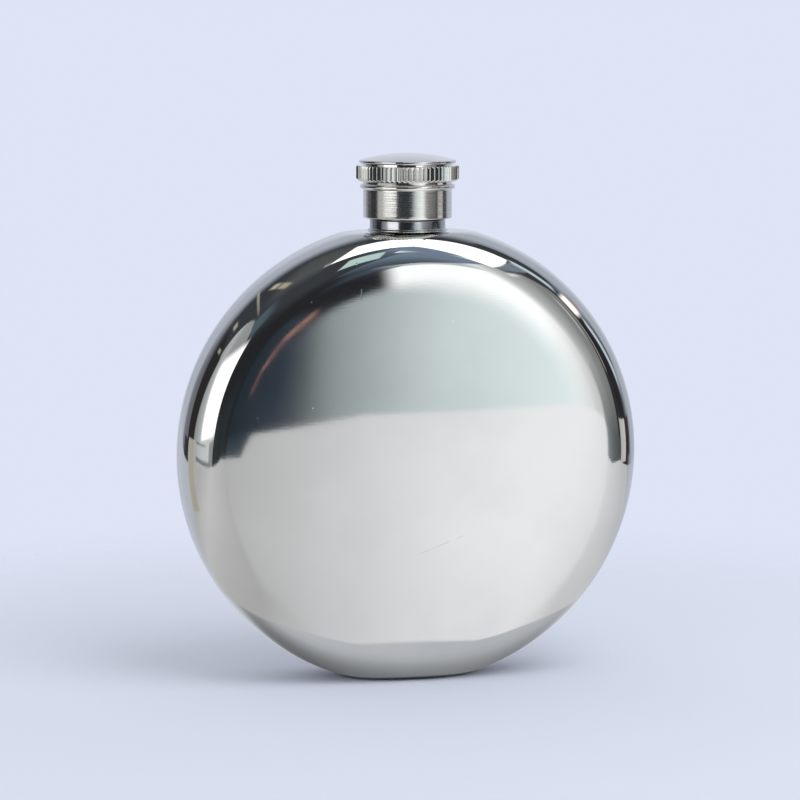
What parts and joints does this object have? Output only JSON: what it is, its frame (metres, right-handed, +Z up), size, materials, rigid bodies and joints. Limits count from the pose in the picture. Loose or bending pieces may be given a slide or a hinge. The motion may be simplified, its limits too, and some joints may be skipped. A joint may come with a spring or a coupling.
{
  "type": "pocket flask",
  "caption": "Round pocket flask in polished steel: a flat-sided disc body that stands on a pressed base, with a short neck and a knurled screw cap that seals on a washer.",
  "frame": {"origin": "centre of the base flat that the flask stands on, under the axis of the neck", "axes": "+Z up along the axis of the neck and cap, +Y through the disc from the front face to the rear face, +X to the right as the front face is seen"},
  "size_m": [0.094, 0.027, 0.1061],
  "materials": {
    "polished_steel": "polished",
    "turned_steel": "gloss",
    "weld_steel": "gloss",
    "silicone": "matte"
  },
  "bodies": {
    "flask": {"front_shell": "polished_steel", "rear_shell": "polished_steel", "rim_weld": "weld_steel", "neck": "turned_steel", "neck_weld": "weld_steel"},
    "seal": {"seal_washer": "silicone"},
    "cap": {"cap_sleeve": "turned_steel", "cap_top": "polished_steel"}
  },
  "joints": [
    {"name": "cap_lift", "type": "slide", "parent": "flask", "child": "seal", "axis": [0, 0, 1], "range_m": [0, 0.009]},
    {"name": "cap_turn", "type": "hinge", "parent": "seal", "child": "cap", "pos_m": [0, 0, 0.1], "axis": [0, 0, 1], "range_deg": [0, 1620]}
  ],
  "couplings": [
    {"joint": "cap_lift", "follows": "cap_turn", "m_per_rad": 0.0003183}
  ]
}
